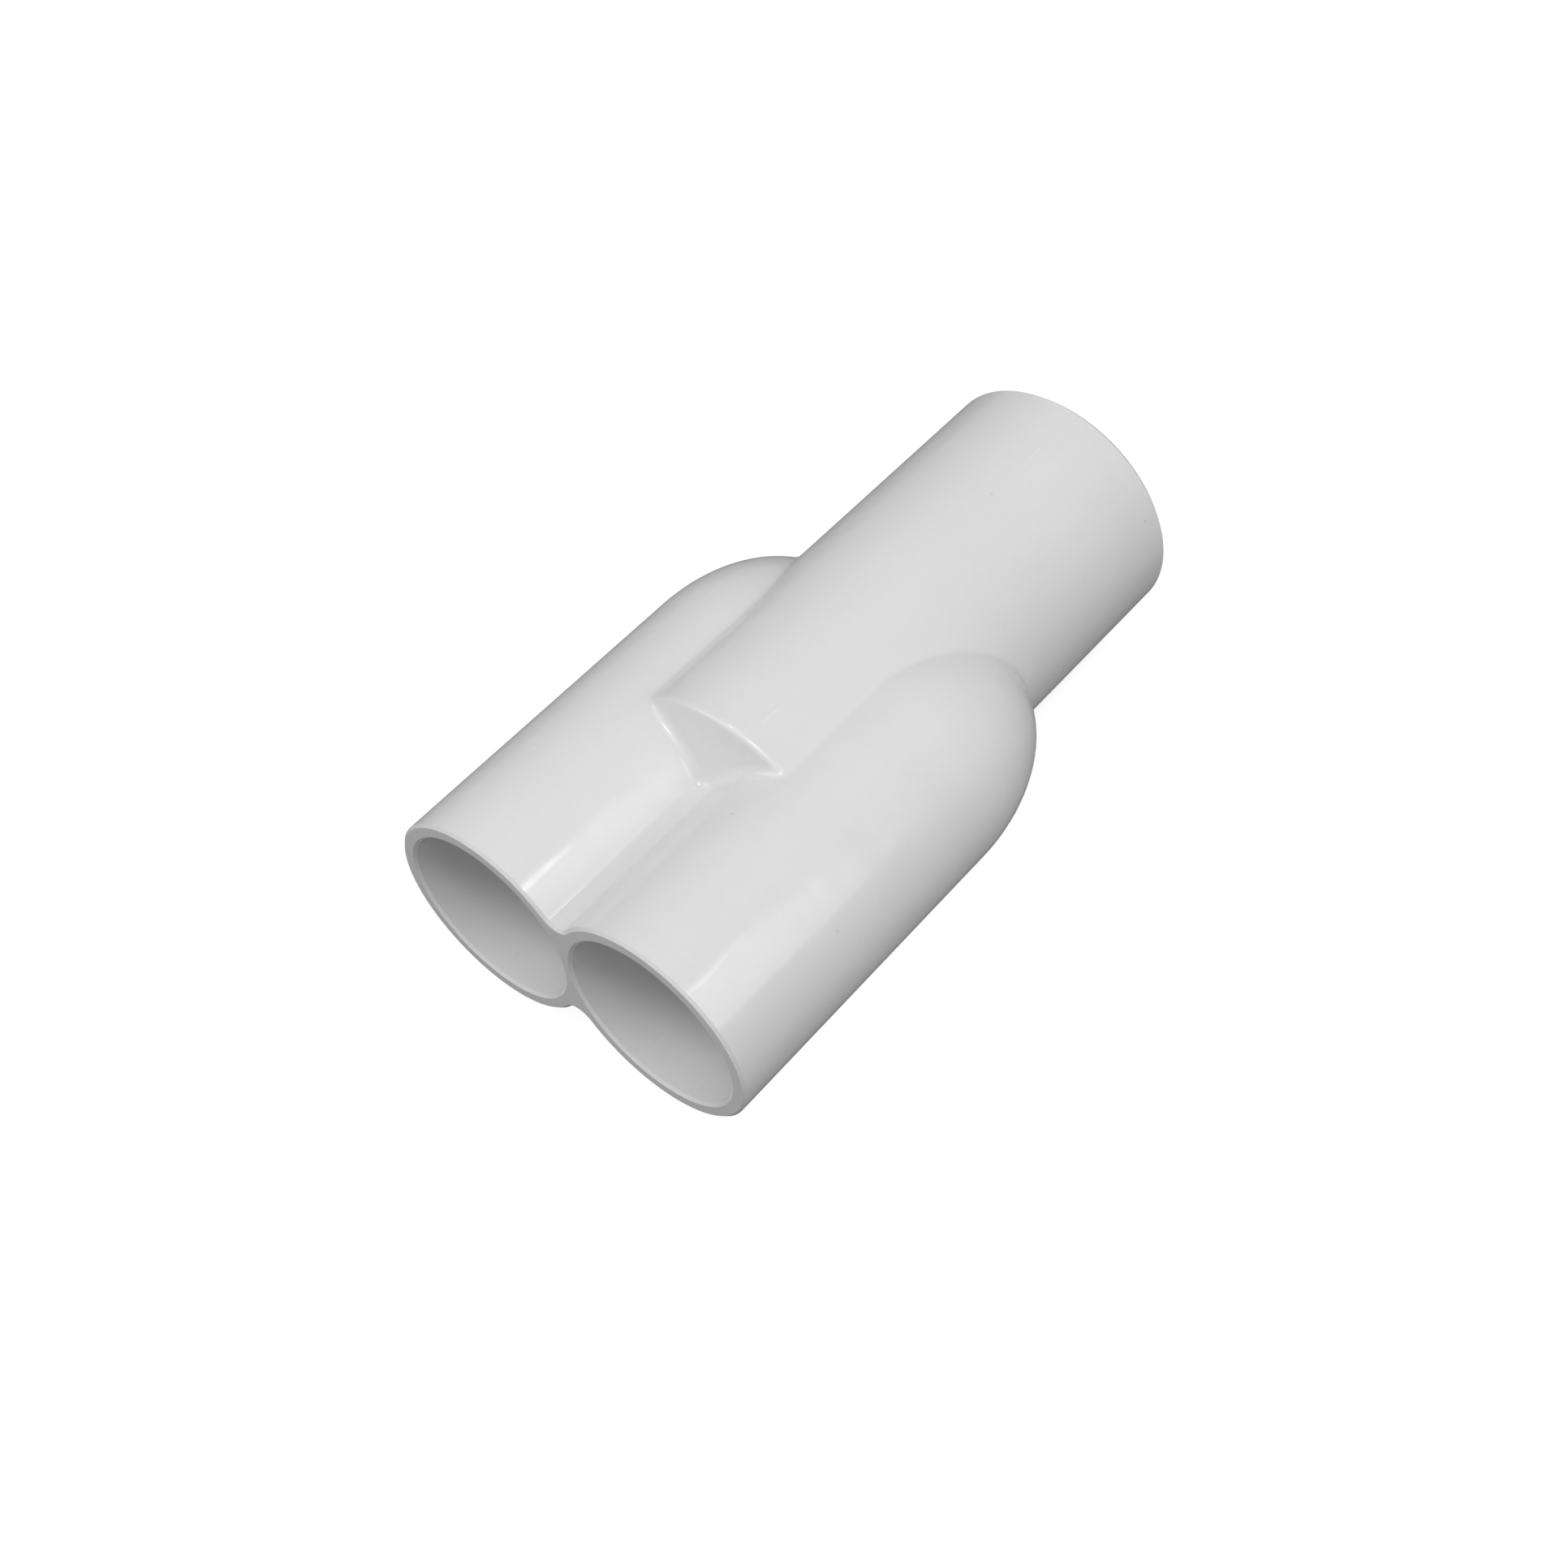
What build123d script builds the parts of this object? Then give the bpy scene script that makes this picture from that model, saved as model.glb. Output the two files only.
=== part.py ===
from build123d import *
import math
import os

# A moulded pipe wye: two parallel slip sockets, side by side, run together into one
# larger spigot whose axis lies midway between theirs and in their plane. The tubes
# lie along X, with the socket mouths at -X and the spigot's end at +X, and the
# fitting's lowest line rests on Z = 0. All lengths are millimetres.

# Driving dimensions: outside
overall_length = 132.8       # socket mouths to the spigot's end
spigot_diameter = 48.26      # goes into a nominal 1-1/2 in socket
spigot_length = 38.0         # parallel part of the spigot, back from its open end
stub_start = 39.8            # mouths to the top edge of the stub, the spigot's run over the barrels
stub_draft = 0.25            # degrees, widening of the stub towards its closed end
stub_end_slope = 15.0        # degrees, lean of that end: its foot is nearer the mouths than its top
barrel_length = 62.7         # straight run, from the mouth to the start of the dome
dome_length = 28.6           # how far each barrel's dome reaches past its straight run

# Driving dimensions: inside and walls
socket_diameter = 33.6       # takes a nominal 1 in pipe
socket_depth = 35.0          # mouth to the pipe stop
stop_height = 1.4            # how far the pipe stop stands in from the socket's wall
barrel_wall = 2.9            # round each socket
web_thickness = 2.2          # between the two sockets, at its thinnest
nose_length = 15.0           # taper at the far end of each passage, under the dome
nose_radius = 9.0            # of the flat end of that taper
dome_wall = 3.5              # from the flat end's rim to the dome, along the axis
spigot_wall = 3.0
stub_end_wall = 3.5          # thickness of the stub's closed end

# Driving dimensions: edges
valley_radius = 3.0          # groove between the barrels
blend_radius = 2.0           # spigot into the barrels and their domes
stub_edge_radius = 1.2       # outer corner of the stub's closed end
mouth_bevel = 0.5            # outer edge of the mouth face
lip_bevel = 0.5              # inner edge of each socket's mouth, to start the pipe
spigot_bevel = 0.8           # outer edge of the spigot's end, to start it in its socket
bore_bevel = 0.4             # inner edge of the spigot's end

# Derived sizes
spigot_radius = spigot_diameter / 2
bore_radius = spigot_radius - spigot_wall
draft_start = overall_length - spigot_length
stub_radius = spigot_radius + (draft_start - stub_start) * math.tan(math.radians(stub_draft))
socket_radius = socket_diameter / 2
barrel_radius = socket_radius + barrel_wall
barrel_offset = socket_radius + web_thickness / 2
passage_radius = socket_radius - stop_height
nose_end = barrel_length + dome_length * math.sqrt(1 - (nose_radius / barrel_radius) ** 2) - dome_wall
chamber_start = stub_start + stub_end_wall
end_lean = math.tan(math.radians(stub_end_slope))
overcut = 1.0                # how far a core runs out past the face it opens


def dome():
    """The closed end of one barrel about the X axis: half an ellipsoid."""
    start, tip = (barrel_length, 0), (barrel_length + dome_length, 0)
    arc = EllipticalCenterArc(start, dome_length, barrel_radius, 0, arc_size=90)
    return revolve(make_face([arc, Line((barrel_length, barrel_radius), start), Line(start, tip)]), Axis.X)


def on_both_sides(shape):
    """The same shape about each barrel's axis."""
    return Part() + [Pos(0, side * barrel_offset, 0) * shape for side in (1, -1)]


def twin_section():
    """Section through both barrels, with the groove on each side of them rounded."""
    reach = barrel_radius + valley_radius
    groove_height = math.sqrt(reach**2 - barrel_offset**2)
    across, up = barrel_offset * valley_radius / reach, groove_height * barrel_radius / reach
    far = barrel_offset + barrel_radius
    bottom = groove_height - valley_radius
    return make_face([
        ThreePointArc((across, -up), (far, 0), (across, up)),
        ThreePointArc((across, up), (0, bottom), (-across, up)),
        ThreePointArc((-across, up), (-far, 0), (-across, -up)),
        ThreePointArc((-across, -up), (0, -bottom), (across, -up)),
    ])


def twin_barrels():
    """The two barrels as one straight run, and their domes."""
    return extrude(Plane.YZ * twin_section(), barrel_length) + on_both_sides(dome())


def spigot_bar():
    """The spigot's outside: parallel from its open end, then drafted back to its leaning closed end."""
    outline = Polyline(
        (stub_start - stub_radius * end_lean, 0),
        (stub_start, stub_radius),
        (draft_start, spigot_radius),
        (overall_length - spigot_bevel, spigot_radius),
        (overall_length, spigot_radius - spigot_bevel),
        (overall_length, 0),
        close=True,
    )
    section = make_face(outline)
    return revolve(fillet(section.vertices().sort_by(Axis.Y).last, stub_edge_radius), Axis.X)


def outer_form():
    """The outside as one lump, with every crease between spigot and barrels blended."""
    barrels, bar = twin_barrels(), spigot_bar()
    joined = barrels + bar
    return fillet(new_edges(barrels, bar, combined=joined), blend_radius)


def barrel_core():
    """The hollow of one barrel about the X axis: socket, pipe stop and a passage with a tapered end."""
    outline = Polyline(
        (-overcut, 0),
        (-overcut, socket_radius),
        (socket_depth, socket_radius),
        (socket_depth, passage_radius),
        (nose_end - nose_length, passage_radius),
        (nose_end, nose_radius),
        (nose_end, 0),
        close=True,
    )
    return revolve(make_face(outline), Axis.X)


def spigot_core():
    """The spigot's bore, which runs on between the passages to an end that leans as the stub's does."""
    outline = Polyline(
        (chamber_start - bore_radius * end_lean, 0),
        (chamber_start, bore_radius),
        (overall_length + overcut, bore_radius),
        (overall_length + overcut, 0),
        close=True,
    )
    return revolve(make_face(outline), Axis.X)


def bevel_openings(body):
    """Takes the corners off the mouth face and off the bore's edge at the spigot's end."""
    mouth_face = body.faces().sort_by(Axis.X).first
    body = chamfer(mouth_face.outer_wire().edges(), mouth_bevel)
    mouth_face = body.faces().sort_by(Axis.X).first
    body = chamfer([edge for wire in mouth_face.inner_wires() for edge in wire.edges()], lip_bevel)
    spigot_face = body.faces().sort_by(Axis.X).last
    return chamfer(spigot_face.inner_wires()[0].edges(), bore_bevel)


def wye_body():
    """The whole moulding, in place: mid-length over the origin, lying on its lowest line."""
    body = bevel_openings(outer_form() - on_both_sides(barrel_core()) - spigot_core())
    return Pos(-overall_length / 2, 0, -body.bounding_box().min.Z) * body


os.makedirs("parts", exist_ok=True)
export_step(wye_body(), "parts/wye_body.step")
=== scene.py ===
import bpy
from mathutils import Matrix, Vector


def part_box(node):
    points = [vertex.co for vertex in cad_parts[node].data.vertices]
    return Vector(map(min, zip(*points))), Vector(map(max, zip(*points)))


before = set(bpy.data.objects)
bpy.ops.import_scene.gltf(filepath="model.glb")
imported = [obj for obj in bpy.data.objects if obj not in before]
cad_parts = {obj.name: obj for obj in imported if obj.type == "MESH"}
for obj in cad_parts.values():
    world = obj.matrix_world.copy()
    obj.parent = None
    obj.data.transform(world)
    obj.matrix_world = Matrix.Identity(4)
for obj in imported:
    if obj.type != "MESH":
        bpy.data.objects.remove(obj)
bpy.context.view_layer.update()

# Places, in metres. The fitting lies along X with its mouths at -X, on the floor at Z = 0.
mouth_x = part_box("wye_body")[0].x
axis_height = (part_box("wye_body")[0].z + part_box("wye_body")[1].z) / 2
middle = Vector((0.0, 0.0, axis_height))

# Camera: its right, down and forward directions, the middle of the mouth plane seen
# from it along those, and its lens
camera_right = Vector((0.64187622, -0.75956468, -0.10514947))
camera_down = Vector((-0.62207601, -0.43562856, -0.65057605))
camera_forward = Vector((0.44834848, 0.48300026, -0.75212658))
mouths_from_camera = (-0.03468191, 0.02988643, 0.37718827)
lens_mm = 54.1312
sensor_mm = 36.0

# White of the moulding, its skin, and light levels
pvc_white = (0.80, 0.80, 0.80, 1.0)
pvc_ior = 1.53
skin_depth = 0.00006         # height of the skin's waves
white = (1.0, 1.0, 1.0, 1.0)
sky_level = 0.35
floor_size = 8.0
floor_white = (0.16, 0.16, 0.16, 1.0)
floor_glow = 0.94
glow_in_gloss = 0.08
painted_shadow_reach = 0.010        # how far from the fitting the floor's glow is darkened, as a painted contact shadow
lamp_distance = 1.3

# Lamps: direction from the fitting's middle, width, depth, watts
lamps = {
    "overhead_softbox": ((-0.40, -0.12, 0.90), 1.0, 1.0, 3.6),
    "side_fill": ((0.10, -0.86, 0.48), 0.9, 0.9, 5.0),
    "mouth_fill": ((-0.56, 0.50, 0.60), 0.75, 0.75, 2.9),
    "window_glint": ((0.265, -0.57, 0.775), 0.13, 0.11, 0.52),
    "edge_glint": ((-0.33, -0.13, 0.93), 0.26, 0.26, 2.2),
}


class Graph:
    """Short ways to add and wire the nodes of a material or the world."""

    def __init__(self, owner):
        owner.use_nodes = True
        self.owner = owner
        self.nodes = owner.node_tree.nodes
        self.links = owner.node_tree.links
        self.nodes.clear()

    def add(self, kind, **inputs):
        """A new node, with inputs named as its sockets are, in lower case."""
        node = self.nodes.new("ShaderNode" + kind)
        for name, value in inputs.items():
            self.feed(node, name.replace("_", " ").title(), value)
        return node

    def feed(self, node, socket, value):
        if isinstance(value, bpy.types.NodeSocket):
            self.links.new(value, node.inputs[socket])
        else:
            node.inputs[socket].default_value = value

    def pick(self, value, start, end, low, high, blend="LINEAR"):
        """Value from start to end becomes low to high, and stays at either past them."""
        node = self.add("MapRange", value=value, from_min=start, from_max=end,
                        to_min=low, to_max=high)
        node.interpolation_type = blend
        return node.outputs["Result"]

    def math(self, operation, first, second):
        node = self.nodes.new("ShaderNodeMath")
        node.operation = operation
        self.feed(node, 0, first)
        self.feed(node, 1, second)
        return node.outputs[0]

    def noise(self, place, scale, detail):
        return self.add("TexNoise", vector=place, scale=scale, detail=detail).outputs["Fac"]


def add_camera():
    data = bpy.data.cameras.new("camera")
    data.sensor_width = sensor_mm
    data.lens = lens_mm
    data.clip_start = 0.01
    camera = bpy.data.objects.new("camera", data)
    bpy.context.scene.collection.objects.link(camera)
    axes = (camera_right, camera_down, camera_forward)
    mouths = Vector((mouth_x, 0.0, axis_height))
    place = mouths - sum((axis * far for axis, far in zip(axes, mouths_from_camera)), Vector())
    turn = Matrix((camera_right, -camera_down, -camera_forward)).transposed().to_4x4()
    camera.matrix_world = Matrix.Translation(place) @ turn
    bpy.context.scene.camera = camera


def add_softbox(name, towards, width, depth, watts):
    """An area lamp off the fitting's middle in that direction, and aimed at it."""
    data = bpy.data.lights.new(name, "AREA")
    data.shape = "RECTANGLE"
    data.size, data.size_y, data.energy = width, depth, watts
    lamp = bpy.data.objects.new(name, data)
    bpy.context.scene.collection.objects.link(lamp)
    away = Vector(towards).normalized()
    turn = away.to_track_quat("Z", "Y").to_matrix().to_4x4()
    lamp.matrix_world = Matrix.Translation(middle + away * lamp_distance) @ turn


def white_moulding():
    """Glossy rigid PVC: near-even white with faint flow clouding and a few specks, a skin that
    is a little wavy, and fine handling scuffs along the tubes that dull the gloss."""
    graph = Graph(bpy.data.materials.new("white_pvc"))
    place = graph.add("TexCoord").outputs["Object"]
    along = graph.add("Mapping", vector=place, scale=(0.12, 1.0, 1.0)).outputs["Vector"]

    clouds = graph.noise(place, 38.0, 3.0)
    grain = graph.noise(place, 900.0, 2.0)
    waves = graph.noise(place, 85.0, 1.0)
    ripples = graph.noise(place, 260.0, 0.0)
    specks = graph.add("TexVoronoi", vector=place, scale=150.0).outputs["Distance"]
    speck_field = graph.noise(place, 55.0, 1.0)
    scuffs = graph.noise(along, 700.0, 3.0)
    scuff_field = graph.noise(place, 70.0, 2.0)

    speck = graph.math("MULTIPLY", graph.pick(specks, 0.035, 0.075, 0.14, 0.0),
                       graph.pick(speck_field, 0.58, 0.66, 0.0, 1.0))
    shade = graph.math("ADD", graph.pick(clouds, 0.3, 0.7, 0.98, 1.015),
                       graph.pick(grain, 0.3, 0.7, -0.006, 0.006))
    shade = graph.math("SUBTRACT", shade, speck)
    tint = graph.nodes.new("ShaderNodeMix")
    tint.data_type, tint.blend_type = "RGBA", "MULTIPLY"
    tint.inputs[0].default_value = 1.0
    tint.inputs[6].default_value = pvc_white
    graph.links.new(shade, tint.inputs[7])

    scuff = graph.math("MULTIPLY", graph.pick(scuffs, 0.60, 0.68, 0.0, 1.0),
                       graph.pick(scuff_field, 0.50, 0.62, 0.0, 1.0))
    dulling = graph.math("ADD", graph.pick(clouds, 0.3, 0.7, 0.13, 0.18),
                         graph.math("MULTIPLY", scuff, 0.12))

    height = graph.math("ADD", waves, graph.math("MULTIPLY", ripples, 0.90))
    height = graph.math("ADD", height, graph.math("MULTIPLY", grain, 0.010))
    height = graph.math("SUBTRACT", height, graph.math("MULTIPLY", scuff, 0.009))
    skin = graph.add("Bump", strength=1.0, distance=skin_depth, height=height)

    shader = graph.add("BsdfPrincipled", base_color=tint.outputs[2], roughness=dulling,
                       normal=skin.outputs["Normal"])
    shader.inputs["IOR"].default_value = pvc_ior
    graph.add("OutputMaterial", surface=shader.outputs["BSDF"])
    return graph.owner


def glow_by_ray(graph):
    """How brightly the backdrop glows for each kind of ray: white to the camera and through clear
    pieces, faint in gloss, and none in the light that it sends to the fitting."""
    path = graph.add("LightPath").outputs
    seen = graph.math("MAXIMUM", path["Is Camera Ray"], path["Is Transmission Ray"])
    in_gloss = graph.math("MULTIPLY", path["Is Glossy Ray"], glow_in_gloss)
    return graph.math("MAXIMUM", seen, in_gloss)


def add_floor():
    """A floor that is white to the camera, with its glow darkened close to where the fitting
    stands as a painted contact shadow.
    """
    bpy.ops.object.select_all(action="DESELECT")
    bpy.ops.mesh.primitive_plane_add(size=floor_size)
    floor = bpy.context.object
    floor.name = "floor"
    graph = Graph(bpy.data.materials.new("floor_white"))
    openness = graph.add("AmbientOcclusion", distance=painted_shadow_reach)
    openness.samples = 16
    # Painted contact shadow: the floor's glow fades where the fitting hides the floor close by
    glow_with_painted_shadow = graph.pick(openness.outputs["AO"], 0.0, 0.40, 0.0, floor_glow, "SMOOTHSTEP")
    lit = graph.add("BsdfDiffuse", color=floor_white)
    glow = graph.add("Emission", strength=graph.math("MULTIPLY", glow_with_painted_shadow, glow_by_ray(graph)))
    shown = graph.nodes.new("ShaderNodeAddShader")
    graph.links.new(lit.outputs[0], shown.inputs[0])
    graph.links.new(glow.outputs[0], shown.inputs[1])
    graph.add("OutputMaterial", surface=shown.outputs[0])
    floor.data.materials.append(graph.owner)


def set_world():
    """An even pale sky that lights the fitting, and plain white behind it for the camera."""
    world = bpy.data.worlds.new("studio")
    bpy.context.scene.world = world
    graph = Graph(world)
    sky = graph.add("Background", color=white, strength=sky_level)
    backdrop = graph.add("Background", color=white)
    mix = graph.nodes.new("ShaderNodeMixShader")
    graph.links.new(graph.add("LightPath").outputs["Is Camera Ray"], mix.inputs[0])
    graph.links.new(sky.outputs[0], mix.inputs[1])
    graph.links.new(backdrop.outputs[0], mix.inputs[2])
    graph.add("OutputWorld", surface=mix.outputs[0])


add_camera()
set_world()
add_floor()
for name, (towards, width, depth, watts) in lamps.items():
    add_softbox(name, towards, width, depth, watts)

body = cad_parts["wye_body"]
body.data.materials.clear()
body.data.materials.append(white_moulding())

bpy.context.scene.view_settings.view_transform = "Standard"
